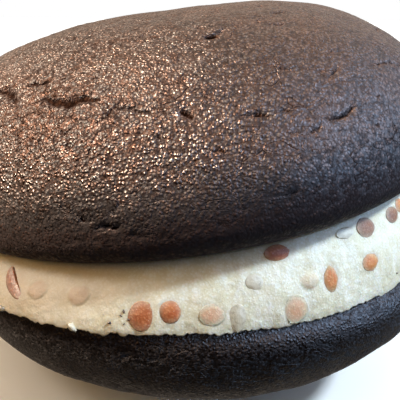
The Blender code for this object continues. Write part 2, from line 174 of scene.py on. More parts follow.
# Hairline cracks, too fine for the solids: azimuth, rise, length and turn.
HAIRLINES = [
    (261, 29, 2.1, -12), (254, 22, 2.0, -14), (259, 19, 1.4, 87), (264, 25, 1.8, -20),
    (271, 24, 1.8, -30), (279, 24, 1.7, -15), (267, 21, 1.1, -1), (275, 16, 0.6, -35),
    (271, 15, 1.4, -7), (303, 44, 0.9, -59), (299, 35, 1.4, -7), (300, 32, 0.7, -15),
    (309, 34, 1.3, -4), (302, 26, 2.0, 5), (294, 19, 1.1, -31), (291, 17, 2.0, -15),
    (262, 10, 1.2, -15), (263, 11, 0.8, 52), (232, 58, 1.5, 30), (260, 54, 2.3, -2),
    (248, 53, 0.8, 29), (246, 48, 0.9, 38), (288, 9, 4.4, -10), (288, 8, 1.1, -7),
    (281, 8, 2.2, 7), (292, 8, 1.1, -1), (301, 7, 3.3, 9), (306, 9, 3.3, -11),
    (285, 8, 1.4, 8), (293, 9, 1.5, -14), (297, 8, 1.3, -10), (311, 44, 2.1, -23),
    (320, 32, 2.8, -13), (322, 28, 1.8, -5), (285, 15, 0.7, 2), (286, 11, 0.9, 87),
    (261, 17, 1.6, -26), (255, 10, 1.7, -13), (282, 11, 1.9, -21), (307, 15, 1.4, -19),
    (283, 23, 1.4, -22), (276, 3, 1.8, -9), (253, 37, 2.4, -24),
]
HAIRLINE_WIDTH = 0.7
HAIRLINE_DEPTH = 0.28
LOOSE_HAIRLINES = {"upper": 90, "lower": 50}  # more of them by rule, all round


@dataclass(frozen=True)
class Candy:
    """A candy bead in the cream's wall."""

    azimuth: float       # degrees round the pie
    level: float         # 0 at the cream's lip, 1 at its brim
    width: float         # millimetres, as is tall
    tall: float
    look: str = ""
    cut: float = 1.0     # where it is cut off straight on its right, as a share of half its width
    tip: float = 0.0     # how pointed it is: above 0 at the top, below 0 at the bottom
    turn: float = 0      # degrees, anticlockwise seen from outside
    shown: float = 1.0   # how well it shows through the cream where it is buried


FRONT_CANDY = [
    Candy(241.5, 0.57, 2.4, 5.0, "red", cut=0.25, turn=53),
    Candy(246.6, 0.55, 2.6, 2.5, "buried"),
    Candy(254.4, 0.54, 2.6, 2.4, "buried"),
    Candy(265.7, 0.29, 3.1, 3.2, "red"),
    Candy(269.9, 0.34, 2.4, 2.4, "red"),
    Candy(276.4, 0.27, 2.7, 2.3, "pink"),
    Candy(280.5, 0.19, 2.1, 3.0, "clear", tip=-0.6),
    Candy(283, 0.61, 2.2, 1.7, "clear"),
    Candy(287.3, 0.88, 3.5, 1.9, "red"),
    Candy(290, 0.20, 2.9, 3.0, "pink"),
    Candy(292.5, 0.50, 2.5, 1.9, "buried", shown=0.45),
    Candy(296.7, 0.45, 2.2, 3.0, "orange", tip=0.6),
    Candy(301.2, 0.87, 2.9, 1.3, "clear"),
    Candy(306.2, 0.84, 3.3, 2.5, "rose"),
    Candy(305.7, 0.46, 2.8, 2.1, "orange"),
    Candy(314.5, 0.82, 3.0, 2.1, "rose"),
]
# What of the candy and the dark crumbs is too small for the solids: azimuth, level and size.
SHARDS = [(241.8, 0.03, 1.3), (255.5, 0.02, 1.4)]
CRUMBS = [(261, 0.16, 0.5), (262.5, 0.26, 0.35), (262.8, 0.34, 0.5), (263.2, 0.16, 0.3),
          (263.8, 0.22, 0.45)]
LOOSE_CRUMBS = 26

# Beads by rule: where round the pie they go, and how much of the wall each takes.
BEHIND = (318, 599)
BEAD_WALL = 33 * MM * MM
BEAD_SIZES = (2.0, 3.1)
BEAD_APART = 0.5 * MM
BEAD_MARGIN = 0.3
BEAD_TUCK = 0.05 * MM             # how far a bead's rim lies under the cream's skin
BEAD_DEEP = 0.5 * MM              # from its rim to its hidden back
BEAD_CROWN = {"red": 0.28, "orange": 0.22, "pink": 0.18, "rose": 0.24, "clear": 0.18}  # mm
# How far each kind stains the cream round it.
BLUSH = {"red": 0.45, "orange": 0.4, "pink": 0.32, "rose": 0.3, "clear": 0.1}
LOOKS_BEHIND = ["orange", "red", "pink", "buried", "rose", "clear"]
LOOK_SHARES = [22, 18, 22, 18, 8, 12]

# The camera and the lights, in metres and degrees.
AIM = Vector((3.0, 0.3, 25.36)) * MM
CAMERA_RISE = 0.336
CAMERA_AWAY = 107 * MM
CAMERA_ROLL = 0.007
FOCAL_PIXELS = 543.3
PICTURE_PIXELS = 400
SENSOR = 36.0
BACKDROP_SIDES = 64
BACKDROP_RADIUS = 3.9
BACKDROP_HEIGHT = 2.0
FLOOR_HALF = 4.0
LIGHT_AWAY = 0.5


# Domes ------------------------

def dome_radius(cake, angle):
    return cake.radius * (1 + cake.oval * np.cos(2 * (angle - cake.oval_turn)))


def dome_outline(cake, step, top):
    """Points (radius, height) up the dome's side, from the rim of its flat side up to top."""
    turn = np.linspace(0, pi / 2, OUTLINE_SAMPLES)
    out = np.r_[cake.radius - cake.edge * (1 - np.sin(turn)),
                cake.radius * np.cos(turn) ** (2 / cake.roundness)]
    up = np.r_[cake.edge * (1 - np.cos(turn)),
               cake.edge + (cake.height - cake.edge) * np.sin(turn) ** (2 / cake.fullness)]
    below = up < top
    out = np.append(out[below], np.interp(top, up, out))
    up = np.append(up[below], top)
    along = np.r_[0, np.cumsum(np.hypot(np.diff(out), np.diff(up)))]
    stops = np.linspace(0, along[-1], round(along[-1] / step) + 1)
    return np.c_[np.interp(stops, along, out), np.interp(stops, along, up)]


def onto_dome(cake, points):
    """Points above the edge, moved straight out from the middle of the dome onto its skin."""
    points = np.atleast_2d(points)
    angle = np.arctan2(points[:, 1], points[:, 0])
    out = np.hypot(points[:, 0], points[:, 1]) / dome_radius(cake, angle)
    up = np.maximum(points[:, 2] - cake.edge, 0) / (cake.height - cake.edge)
    low = np.full(len(points), 0.2)
    high = np.full(len(points), 5.0)
    for _ in range(40):
        middle = (low + high) / 2
        inside = (middle * out) ** cake.roundness + (middle * up) ** cake.fullness < 1
        low = np.where(inside, middle, low)
        high = np.where(inside, high, middle)
    scale = ((low + high) / 2)[:, None]
    centre = np.array([0, 0, cake.edge])
    above = points[:, 2] > cake.edge
    moved = centre + (points - centre) * scale
    return np.where(above[:, None], moved, points)


def dome_normals(cake, points):
    """Outward directions of the skin above the edge; level outward ones below it."""
    angle = np.arctan2(points[:, 1], points[:, 0])
    radius = dome_radius(cake, angle)
    out = np.hypot(points[:, 0], points[:, 1]) / radius
    up = np.clip((points[:, 2] - cake.edge) / (cake.height - cake.edge), 0, None)
    level = cake.roundness * np.maximum(out, 1e-6) ** (cake.roundness - 1) / radius
    rising = cake.fullness * up ** (cake.fullness - 1) / (cake.height - cake.edge)
    normals = np.c_[level * np.cos(angle), level * np.sin(angle), rising]
    return normals / np.linalg.norm(normals, axis=1)[:, None]


def crack_line(cake, crack, draw):
    """Points along a crack on the dome's skin, and how far along each is, from -1 to 1."""
    azimuth = radians(crack.azimuth)
    rise = radians(crack.rise)
    level = cos(rise) * cake.radius
    start = np.array([level * cos(azimuth), level * sin(azimuth), sin(rise) * cake.radius])
    start = onto_dome(cake, start)[0]
    steps = max(1, round(crack.length * MM / 2 / CRACK_STEP))
    line = [(start, 0.0)]
    for way in (-1, 1):
        point = start
        for k in range(1, steps + 1):
            heading = radians(crack.turn) + draw.uniform(-CRACK_WANDER, CRACK_WANDER)
            normal = dome_normals(cake, point[None])[0]
            east = np.cross([0, 0, 1], normal)
            east /= np.linalg.norm(east)
            uphill = np.cross(normal, east)
            stride = way * CRACK_STEP * (cos(heading) * east + sin(heading) * uphill)
            point = onto_dome(cake, point + stride)[0]
            line.append((point, way * k / steps))
    return line


def crack_path(cake, crack, draw):
    """Close points along a crack from end to end: place, half width and depth in each row."""
    knots = []
    for point, along in crack_line(cake, crack, draw):
        taper = sqrt(max(0.0, 1 - (0.92 * along) ** 2))
        half = crack.width * MM / 2 * taper * draw.uniform(0.85, 1.15)
        deep = crack.depth * MM * taper * draw.uniform(0.8, 1.2)
        knots.append((along, *point, half, deep))
    knots = np.array(sorted(knots))
    stops = np.linspace(-1, 1, 3 * len(knots))
    return np.column_stack([np.interp(stops, knots[:, 0], row) for row in knots.T[1:]])


def back_cracks(cake):
    """Cracks by rule on the side that faces away."""
    draw = random.Random(cake.seed + 100)
    low, high = BACK_AZIMUTHS
    stride = (high - low) / BACK_CRACKS
    cracks = []
    for k in range(BACK_CRACKS):
        azimuth = low + (k + draw.random()) * stride
        rise = draw.uniform(12, 42)
        length = draw.uniform(2.5, 6)
        width = draw.uniform(0.8, 1.1)
        cracks.append(Crack(azimuth, rise, length, draw.uniform(-30, 20), width, 0.5))
    return cracks


def loose_hairlines(cake, count):
    draw = random.Random(cake.seed + 200)
    return [Crack(draw.uniform(0, 360), draw.uniform(4, 60), draw.uniform(0.8, 3.5),
                  draw.uniform(-35, 25), HAIRLINE_WIDTH, HAIRLINE_DEPTH * draw.uniform(0.5, 1.1))
            for _ in range(count)]


def lumps(points, size, shift=0.0):
    """Smooth noise from about -1 to 1, with lumps of that size."""
    return np.array([noise.noise(p) for p in (points / size + (shift, 0, 0)).tolist()])


def pebbles(points, size):
    """Rounded grains: 1 at the middle of each and about 0 between them."""
    return np.array([1 - noise.voronoi(p)[0][0] for p in (points / size).tolist()])


# Meshes -----------------------

def even_angles(count, turn=0):
    return 2 * pi * (np.arange(count) + turn) / count


def ring_angles(count, front, turn):
    """Plan angles round a ring, closer together near the front."""
    even = even_angles(count, turn)
    return even - CROWDING * np.sin(even - front)


def circle(radii, angles, up):
    """A level ring of points round Z."""
    return np.c_[radii * np.cos(angles), radii * np.sin(angles), np.full(len(angles), up)]


def stitch(low, n, high, m):
    """Triangles between a ring of n points, numbered from low, and the ring of m above it."""
    i = np.arange(n)
    j = np.arange(m)
    up = np.c_[low + i, low + (i + 1) % n, high + (i * m // n + 1) % m]
    down = np.c_[low + -(-j * n // m) % n, high + (j + 1) % m, high + j]
    return np.vstack([up, down])


def closed(rings):
    """Triangles of a closed form through rings of points, counter-clockwise from the bottom up;
    the first and the last ring are single points."""
    counts = [len(ring) for ring in rings]
    starts = np.r_[0, np.cumsum(counts)]
    triangles = []
    for k in range(1, len(rings) - 2):
        triangles.append(stitch(starts[k], counts[k], starts[k + 1], counts[k + 1]))
    first = starts[1] + np.arange(counts[1])
    triangles.append(np.c_[np.roll(first, -1), first, np.zeros_like(first)])
    last = starts[-3] + np.arange(counts[-2])
    triangles.append(np.c_[last, np.roll(last, -1), np.full_like(last, starts[-2])])
    return np.vstack(triangles)


def mesh_from(name, points, triangles):
    mesh = bpy.data.meshes.new(name)
    mesh.from_pydata(points.tolist(), [], triangles.tolist())
    mesh.shade_smooth()
    return mesh


def paint(mesh, name, values):
    """Keeps one number for each point, for the material to read."""
    attribute = mesh.attributes.new(name, "FLOAT", "POINT")
    attribute.data.foreach_set("value", np.asarray(values, np.float32))


def tree_of(points):
    """A tree to look up the nearest of the points in."""
    tree = kdtree.KDTree(len(points))
    for k, point in enumerate(points.tolist()):
        tree.insert(point, k)
    tree.balance()
    return tree


def new_object(name, data):
    obj = bpy.data.objects.new(name, data)
    bpy.context.scene.collection.objects.link(obj)
    return obj


def new_piece(name, mesh, material, nodes=()):
    mesh.materials.append(material)
    obj = new_object(name, mesh)
    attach(obj, "root")
    if nodes:
        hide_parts(*nodes)
    return obj


# Cakes ------------------------

def dome_rings(cake, step, top):
    """Rings of points from the middle of the flat side out and up to the crown."""
    flat = cake.radius - cake.edge
    outline = [(out, 0.0) for out in np.arange(FLAT_STEP, flat - step, FLAT_STEP)]
    outline += list(dome_outline(cake, step, top))
    if top < cake.height:
        cut = outline[-1][0]
        outline += [(out, top) for out in np.arange(cut - FLAT_STEP, FLAT_STEP, -FLAT_STEP)]
    rings = [np.zeros((1, 3))]
    for k, (out, up) in enumerate(outline):
        level = up in (0.0, top) and out not in (flat, outline[-1][0])
        spacing = (FLAT_STEP if level else step) * COLUMN_SHARE
        if out > step:
            angles = ring_angles(max(7, round(2 * pi * out / spacing)), cake.front, k % 2 / 2)
            radii = out * dome_radius(cake, angles) / cake.radius
            rings.append(circle(radii, angles, up))
    rings.append(np.array([[0, 0, top]]))
    return rings


def crack_relief(points, paths):
    """How far each point goes in for the cracks, and the painted shade that stands for their shadow
    there, from 0 to 1.
    """
    tree = tree_of(points)
    ragged = (1 + 0.5 * lumps(points, 0.9 * MM, 5.0)).tolist()
    depth = np.zeros(len(points))
    dark = np.zeros(len(points))
    for x, y, z, half, deep in np.vstack(paths).tolist():
        core = max(CRACK_CORE, CORE_SHARE * half)
        sharp = min(1.0, SHARP * deep / half)
        pit = min(1.0, deep / PIT_DEPTH) ** 2
        broad = DIP_DEPTH * min(1.0, half / BROAD_HALF) ** 2
        narrow = min(1.0, half / NARROW_HALF)
        for _, k, apart in tree.find_range((x, y, z), CRACK_REACH * half):
            apart *= ragged[k]
            dip = 1 / (1 + (1.5 * apart / half) ** 4)
            cut = exp(-(apart / core) ** 2)
            depth[k] = max(depth[k], deep * (broad * dip + CUT_DEPTH * narrow * cut))
            # Painted shade: the crack's middle, and all of a deep pit, darken where the shadow
            # falls.
            dark[k] = max(dark[k], 0.85 * narrow * sharp * cut, pit * dip)
    return depth, dark


def make_cake(name, cake, cracks, hairlines, step, top, place, grain, material):
    """A cake's fine mesh, with the swellings and cracks of its solid, then grain on them."""
    rings = dome_rings(cake, step, top)
    points = np.vstack(rings)
    draw = random.Random(cake.seed)
    paths = [crack_path(cake, crack, draw) for crack in cracks]
    fine = random.Random(cake.seed + 300)
    paths += [crack_path(cake, crack, fine) for crack in hairlines]

    rise = points[:, 2] - cake.edge
    fade = np.clip(rise / EDGE_FADE, 0, 1)
    skin = np.clip(rise / cake.edge + 1, 0, 1)
    if top < cake.height:
        below_cut = np.clip((top - points[:, 2]) / FLAT_FADE, 0, 1)
        fade *= below_cut
        skin *= below_cut
    swelling = lumps(points, BROAD_LUMPS, cake.seed) + 0.4 * lumps(points, SMALL_LUMPS, cake.seed)
    depth, dark = crack_relief(points, paths)
    coarse = pebbles(points + PEBBLE_BEND * lumps(points, PEBBLE_BENDS)[:, None], PEBBLE)
    small = lumps(points, SMALL_GRAIN)
    patch = 0.65 + 0.35 * lumps(points, GRAIN_PATCH, 7.0)
    patch *= np.interp(points[:, 0], (COARSE_AT * MM, FINE_AT * MM), (1.1, 0.6))
    relief = grain * patch * (0.5 * (coarse - 0.5) + 0.6 * small) * (1 - 0.6 * dark)
    offset = fade * cake.lump * swelling - depth * skin + skin * relief
    points = points + dome_normals(cake, points) * offset[:, None]

    places = (np.c_[points, np.ones(len(points))] @ np.array(place).T)[:, :3]
    mesh = mesh_from(name, places, closed(rings))
    # The painted shade of the cracks and pits, for the material to read.
    paint(mesh, "crack", dark)
    # Rim band: smoother skin, darkened as painted shade.
    paint(mesh, "rim", np.clip(1.15 - rise / SHADED_RIM_BAND, 0, 1))
    return new_piece(name, mesh, material, (name.replace("_crumb", ""),))


def lower_frame():
    """The lower cake's place: turned over onto its crown."""
    return Matrix.Translation((*LOWER_PLACE, LOWER_TOP)) @ Matrix.Rotation(pi, 4, "X")


def upper_frame():
    """The upper cake's place and lean."""
    up = Vector((sin(UPPER_LEAN_X), sin(UPPER_LEAN_Y), 1)).normalized()
    east = Vector((0, 1, 0)).cross(up).normalized()
    north = up.cross(east)
    turn = Matrix((east, north, up)).transposed().to_4x4()
    return Matrix.Translation(UPPER_PLACE) @ turn


# Cream ------------------------

def clear_of_edge(cake, x, y):
    """Height in a cake's frame of what keeps the gap to its flat side and rounded edge."""
    out = hypot(x, y) * cake.radius / dome_radius(cake, atan2(y, x))
    past = min(cake.edge, max(0, out - cake.radius + cake.edge))
    return cake.edge - sqrt((cake.edge + GAP) ** 2 - past ** 2)


def lower_face(azimuth, out):
    """A point of the cream's under side: on the lower cake, then hanging level past it."""
    x = LIP_PLACE.x + out * cos(azimuth)
    y = LIP_PLACE.y + out * sin(azimuth)
    up = LOWER_TOP - clear_of_edge(LOWER, x - LOWER_PLACE[0], LOWER_PLACE[1] - y)
    return Vector((x, y, max(up, LIP_HEIGHT - LIP_RAGGED)))


def upper_face(azimuth, inset):
    """A point of the cream's upper side, so far inside the upper cake's widest ring."""
    out = dome_radius(UPPER, azimuth) - inset
    x = out * cos(azimuth)
    y = out * sin(azimuth)
    return upper_frame() @ Vector((x, y, clear_of_edge(UPPER, x, y)))


def lip_radius(azimuth):
    return LIP_RADIUS - LIP_PULLED_IN * max(0, -cos(azimuth)) ** 3


def brim_inset(azimuth):
    return BRIM_INSET - BRIM_PULLED_OUT * max(0, -cos(azimuth)) ** 3


def wall_ends(azimuth):
    """The way out of the wall, and its points at the lip and at the brim."""
    outward = Vector((cos(azimuth), sin(azimuth), 0))
    ragged = noise.noise(outward * 5) + 0.7 * noise.noise(outward * 11)
    lip = LIP_PLACE + outward * (lip_radius(azimuth) + LIP_RAGGED * ragged)
    lip.z = LIP_HEIGHT + LIP_RAGGED * noise.noise(outward * 8 + Vector((9, 0, 0)))
    return outward, lip, upper_face(azimuth, brim_inset(azimuth))


def wall_point(azimuth, level):
    """A point of the cream's wall; level is 0 at the lip and 1 at the brim."""
    outward, lip, brim = wall_ends(azimuth)
    return lip.lerp(brim, level) + outward * CREAM_BULGE * sin(pi * level)


def wall_height(azimuth):
    return (wall_point(azimuth, 1) - wall_point(azimuth, 0)).length


def wall_tilt(azimuth, level):
    """How far the wall's outward side faces up, as an angle."""
    rise = wall_point(azimuth, level + WALL_PROBE) - wall_point(azimuth, level - WALL_PROBE)
    outward = Vector((cos(azimuth), sin(azimuth), 0))
    return atan2(-rise.dot(outward), rise.z)


def candy_place(candy):
    """A bead's middle on the wall, and the ways out, across and up the wall there."""
    azimuth = radians(candy.azimuth)
    tilt = wall_tilt(azimuth, candy.level)
    level, rise = cos(tilt), sin(tilt)
    east, north = cos(azimuth), sin(azimuth)
    outward = np.array([level * east, level * north, rise])
    across = np.array([-north, east, 0])
    up = np.array([-rise * east, -rise * north, level])
    return np.array(wall_point(azimuth, candy.level)), outward, across, up


def turned(side, rise, turn):
    """A place on the wall, side across and rise up, turned by an angle."""
    return side * cos(turn) - rise * sin(turn), side * sin(turn) + rise * cos(turn)


def make_cream(beads, material):
    """The cream with its ragged lip and uneven wall, flat under each bead; returns its skin."""
    angles = ring_angles(WALL_COLUMNS, radians(270), 0)
    ends = [wall_ends(a) for a in angles]
    outward, lip, brim = (np.array([end[k] for end in ends]) for k in range(3))
    scallop = abs(lumps(outward, SCALLOP * MM / LIP_RADIUS))
    scallop += 0.7 * abs(lumps(outward, SMALL_SCALLOP * MM / LIP_RADIUS, 2.0)) - 0.25
    drip = np.clip(lumps(outward, DRIP * MM / LIP_RADIUS, 3.0) - 0.25, 0, 1)
    levels = np.linspace(0, 1, WALL_LEVELS) ** 1.15
    wall = lip + (brim - lip) * levels[:, None, None]
    wall += outward * CREAM_BULGE * np.sin(pi * levels)[:, None, None]
    hang = np.exp(-levels / HANG_LEVELS)[:, None] * (SCALLOP_HANG * scallop + DRIP_HANG * drip) * MM
    wall[:, :, 2] -= hang
    points = wall.reshape(-1, 3)
    out = np.tile(outward, (WALL_LEVELS, 1))

    relief = MM * sum(height * lumps(points * (1, 1, stretch), size * MM, shift)
                      for size, height, shift, stretch in WALL_RELIEF)
    stain = np.zeros(len(points))
    for candy in beads:
        middle, facing, across, up = candy_place(candy)
        side, rise = turned((points - middle) @ across, (points - middle) @ up,
                            -radians(candy.turn))
        side, rise = side / (candy.width * MM / 2), rise / (candy.tall * MM / 2)
        apart = np.hypot(side, rise) + 0.12 * lumps(points, 1.2 * MM)
        level_out = np.array([facing[0], facing[1], 0]) / hypot(facing[0], facing[1])
        apart[out @ level_out < 0.9] = 9
        if candy.look == "buried":
            relief += BURIED_RISE * MM * np.sqrt(np.clip(1 - (apart / 1.1) ** 2, 0, 1))
            stain = np.maximum(stain, candy.shown * np.clip(3.2 * (1.12 - apart), 0, 1))
        else:
            near = np.clip((1.35 - apart) / 0.3, 0, 1)
            relief += near * (relief[np.argmin(apart)] - relief)
            stain = np.maximum(stain, BLUSH[candy.look] * np.exp(-(apart / 1.25) ** 4))
    tuck = np.tile(np.clip((1 - levels) / BRIM_LEVELS, 0, 1), (WALL_COLUMNS, 1)).T.ravel()
    pulled_in = LIP_TUCK * np.repeat(np.exp(-levels / TUCK_LEVELS), WALL_COLUMNS) * MM
    points = points + out * (relief * tuck - pulled_in)[:, None]
    wall = points.reshape(WALL_LEVELS, WALL_COLUMNS, 3)

    def ring(function, distance):
        return np.array([function(a, distance(a)) for a in angles])

    inner = ring(lower_face, lambda a: lip_radius(a) - LIP_OVERHANG)
    under = (inner + 2 * wall[0]) / 3
    under[:, 2] = np.minimum(inner[:, 2], wall[0, :, 2] + 0.15 * MM)
    rings = [np.array([lower_face(0, 0)]),
             ring(lower_face, lambda a: CREAM_FLAT / 2), ring(lower_face, lambda a: CREAM_FLAT),
             inner, under, *wall,
             ring(upper_face, lambda a: (brim_inset(a) + UPPER.radius - CREAM_FLAT) / 2),
             ring(upper_face, lambda a: UPPER.radius - CREAM_FLAT),
             np.array([upper_frame() @ Vector((0, 0, -GAP))])]
    mesh = mesh_from("cream", np.vstack(rings), closed(rings))
    before = sum(len(r) for r in rings[:5])
    paint(mesh, "stain", np.r_[np.zeros(before), stain,
                               np.zeros(len(mesh.vertices) - before - len(stain))])
    new_piece("cream", mesh, material, ("cream_filling",))
    return tree_of(points)


# Candy beads and crumbs -------

def beads_behind():
    """Beads by rule over the wall that the front ones leave, as in the solid."""
    draw = random.Random(8)
    looks = random.Random(21)
    taken = [(wall_point(radians(b.azimuth), b.level), b.tall * MM) for b in FRONT_CANDY]
    beads = []
    azimuth, last = BEHIND
    while azimuth < last:
        size = draw.uniform(*BEAD_SIZES)
        room = wall_height(radians(azimuth))
        margin = (size / 2 + BEAD_MARGIN) * MM / room
        for _ in range(12):
            level = margin + (1 - 2 * margin) * draw.random()
            place = wall_point(radians(azimuth), level)
            clear = all((place - other).length > (size * MM + width) / 2 + BEAD_APART
                        for other, width in taken)
            if clear and margin < 0.5:
                look = looks.choices(LOOKS_BEHIND, LOOK_SHARES)[0]
                beads.append(Candy(azimuth, level, size, size * draw.uniform(0.85, 1.0), look))
                taken.append((place, size * MM))
                break
        azimuth += degrees(BEAD_WALL / room / LIP_RADIUS) * draw.uniform(0.7, 1.3)
    return beads


def ball(bands, sides):
    """A unit ball round Z: its points and triangles."""
    rings = [np.array([[0, 0, -1.0]])]
    for k in range(1, bands):
        fall = pi * k / bands
        rings.append(circle(sin(fall), even_angles(sides, k % 2 / 2), -cos(fall)))
    rings.append(np.array([[0, 0, 1.0]]))
    return np.vstack(rings), closed(rings)


def joined(name, shapes):
    """One mesh from several (points, triangles)."""
    starts = np.cumsum([0] + [len(points) for points, _ in shapes])
    points = np.vstack([points for points, _ in shapes])
    return mesh_from(name, points, np.vstack([t + s for (_, t), s in zip(shapes, starts)]))


def bead_shape(candy, skin, unit, triangles, number):
    """A shallow round cap set in the wall, a little uneven, perhaps cut or pointed."""
    middle, outward, across, up = candy_place(candy)
    middle += outward * ((np.array(skin.find(middle)[0]) - middle) @ outward)
    crown = BEAD_CROWN[candy.look] * MM
    spread = (1 - BEAD_TUCK / crown) ** -0.5
    side, rise = unit[:, 0].copy(), unit[:, 1].copy()
    fall = 1 - side ** 2 - rise ** 2
    off = np.where(unit[:, 2] > 0, crown * fall, -BEAD_DEEP * np.sqrt(abs(fall))) - BEAD_TUCK
    if candy.cut < 1:
        off = np.minimum(off, 6 * crown * (candy.cut - side) - BEAD_TUCK)
    off += 0.03 * MM * lumps(unit, 0.16, 3.0 * number)
    pointed = np.clip(rise * np.sign(candy.tip), 0, 1) ** 1.6 * abs(candy.tip)
    side *= 1 - pointed
    uneven = 1 + 0.09 * lumps(unit, 0.8, 10.0 * number)
    side, rise = np.minimum(side, candy.cut) * uneven, rise * uneven
    side, rise = side * candy.width * MM / 2 * spread, rise * candy.tall * MM / 2 * spread
    side, rise = turned(side, rise, radians(candy.turn))
    points = middle + np.outer(off, outward)
    return points + np.outer(side, across) + np.outer(rise, up), triangles


def chip_shape(skin, azimuth, level, size, unit, triangles, number):
    """A small angular chip lying in the wall."""
    middle, outward, across, up = candy_place(Candy(azimuth, level, size, size))
    middle = np.array(skin.find(middle)[0]) + 0.12 * size * MM * outward
    jagged = unit * (1 + 0.55 * lumps(unit, 0.9, 5.0 * number)[:, None])
    side, rise = turned(jagged[:, 0], 0.55 * jagged[:, 1], 2.4 * number)
    half = size * MM / 2
    points = middle + np.outer(side * half, across) + np.outer(rise * half, up)
    return points + np.outer(0.5 * jagged[:, 2] * half, outward), triangles


def make_beads(beads, skin):
    unit, triangles = ball(*BEAD_MESH)
    edge = np.clip((np.hypot(unit[:, 0], unit[:, 1]) - 0.5) / 0.42, 0, 1)
    materials = {look: candy_material(look) for look in CANDY_LOOKS} | {"clear": clear_material()}
    for look, material in materials.items():
        shapes = [bead_shape(c, skin, unit, triangles, k) for k, c in enumerate(beads)
                  if c.look == look]
        edges = np.tile(edge, len(shapes))
        if look == "clear":
            unit_chip, chip_triangles = ball(*SHARD_MESH)
            shapes += [chip_shape(skin, *row, unit_chip, chip_triangles, k)
                       for k, row in enumerate(SHARDS)]
            edges = np.r_[edges, np.zeros(len(SHARDS) * len(unit_chip))]
        mesh = joined(f"candy_{look}", shapes)
        paint(mesh, "edge", edges)
        new_piece(f"candy_{look}", mesh, material)


def make_crumbs(material, skin):
    draw = random.Random(31)
    rows = list(CRUMBS)
    while len(rows) < len(CRUMBS) + LOOSE_CRUMBS:
        rows.append((draw.uniform(-50, 240), draw.uniform(0.08, 0.8), draw.uniform(0.2, 0.55)))
    unit, triangles = ball(*CRUMB_MESH)
    shapes = [chip_shape(skin, *row, unit, triangles, k) for k, row in enumerate(rows)]
    new_piece("crumbs", joined("crumbs", shapes), material)


# Materials --------------------

class Graph:
    """A node tree built a node at a time; an input is a value or another node's output."""

    def __init__(self, tree):
        self.tree = tree
        tree.nodes.clear()

    def add(self, kind, inputs=None, **settings):
        node = self.tree.nodes.new("ShaderNode" + kind)
        for name, value in settings.items():
            setattr(node, name, value)
        for key, value in (inputs or {}).items():
            if isinstance(value, bpy.types.NodeSocket):
                self.tree.links.new(value, node.inputs[key])
            else:
                node.inputs[key].default_value = value
        return node

    def places(self, stretch=(1, 1, 1)):
        """Places on the object in millimetres."""
        inputs = {"Vector": self.add("TexCoord").outputs["Object"],
                  "Scale": [s / MM for s in stretch]}
        return self.add("Mapping", inputs).outputs[0]

    def noise(self, places, size, detail=2.0, roughness=0.5):
        inputs = {"Vector": places, "Scale": 1 / size, "Detail": detail, "Roughness": roughness}
        return self.add("TexNoise", inputs).outputs[0]

    def cells(self, places, size, feature="F1", output="Distance"):
        node = self.add("TexVoronoi", {"Vector": places, "Scale": 1 / size}, feature=feature)
        return node.outputs[output]

    def warp(self, places, size, reach):
        """Places pushed about by noise, so that cells look less regular."""
        push = self.add("TexNoise", {"Vector": places, "Scale": 1 / size}).outputs[1]
        push = self.vector("SUBTRACT", {0: push, 1: (0.5, 0.5, 0.5)})
        push = self.vector("SCALE", {0: push, "Scale": 2 * reach})
        return self.vector("ADD", {0: places, 1: push})

    def vector(self, operation, inputs):
        return self.add("VectorMath", inputs, operation=operation).outputs[0]

    def math(self, operation, a, b):
        return self.add("Math", {0: a, 1: b}, operation=operation).outputs[0]

    def plus(self, a, b):
        return self.math("ADD", a, b)

    def times(self, a, b):
        return self.math("MULTIPLY", a, b)

    def larger(self, a, b):
        return self.math("MAXIMUM", a, b)

    def total(self, *terms):
        """The sum of values, each with its weight."""
        result = 0.0
        for value, weight in terms:
            result = self.plus(result, self.times(value, weight))
        return result

    def span(self, value, low, high, at_low=0.0, at_high=1.0):
        """A value from low to high, stretched to go from at_low to at_high and no further."""
        inputs = {"Value": value, "From Min": low, "From Max": high, "To Min": at_low,
                  "To Max": at_high}
        return self.add("MapRange", inputs).outputs[0]

    def blend(self, factor, a, b):
        return self.add("Mix", {0: factor, 6: a, 7: b}, data_type="RGBA").outputs[2]

    def painted(self, name):
        return self.add("Attribute", attribute_name=name).outputs["Fac"]

    def bump(self, height, distance, strength=1.0):
        inputs = {"Height": height, "Distance": distance * MM, "Strength": strength}
        return self.add("Bump", inputs).outputs[0]

    def feed(self, shader, links):
        """Links values to a shader's sockets."""
        for socket, value in links.items():
            self.tree.links.new(value, shader.inputs[socket])


def new_material(name, uniform=None):
    """A material, its node graph and its Principled shader; uniform has the values of the
    sockets that are the same all over."""
    material = bpy.data.materials.new(name)
    material.use_nodes = True
    graph = Graph(material.node_tree)
    shader = graph.add("BsdfPrincipled", uniform)
    graph.add("OutputMaterial", {"Surface": shader.outputs[0]})
    return material, graph, shader


def rgb(red, green, blue):
    """A colour from its 0 to 255 values, as linear light."""
    shares = [c / 255 for c in (red, green, blue)]
    linear = [s / 12.92 if s <= 0.04045 else ((s + 0.055) / 1.055) ** 2.4 for s in shares]
    return (*linear, 1.0)


# In the materials every size is in millimetres.
CREAM_TINT = rgb(238, 232, 212)
# The black of the painted shade in the crust's cracks and gaps.
SHADE_BLACK = rgb(12, 5, 3)
SUGAR = rgb(250, 232, 218)
CALM_BELOW = (35, 46)             # up Z, where the crust's relief comes to its full strength
CALM_SHARE = 0.62                 # of that strength, below
# The cream's left side is darkened and warmed as painted shade.
WARM_SHADE_WITHIN = (-10, 0)          # along X, where the cream's deeper colour fades out
WET_WITHIN = (8, 30)              # along X, where the cream becomes wet
# Of each kind of candy: its deep and its pale colour, its roughness and how far its edge fades.
CANDY_LOOKS = {
    "red": (rgb(184, 100, 50), rgb(218, 148, 98), 0.5, 0.2),
    "orange": (rgb(206, 132, 72), rgb(226, 164, 106), 0.46, 0.3),
    "pink": (rgb(228, 184, 153), rgb(243, 213, 189), 0.42, 0.55),
    # The rose candy's colours are darkened with painted shade, the shadow of the upper cake's rim.
    "rose": (rgb(142, 100, 76), rgb(174, 132, 104), 0.45, 0.3),
}


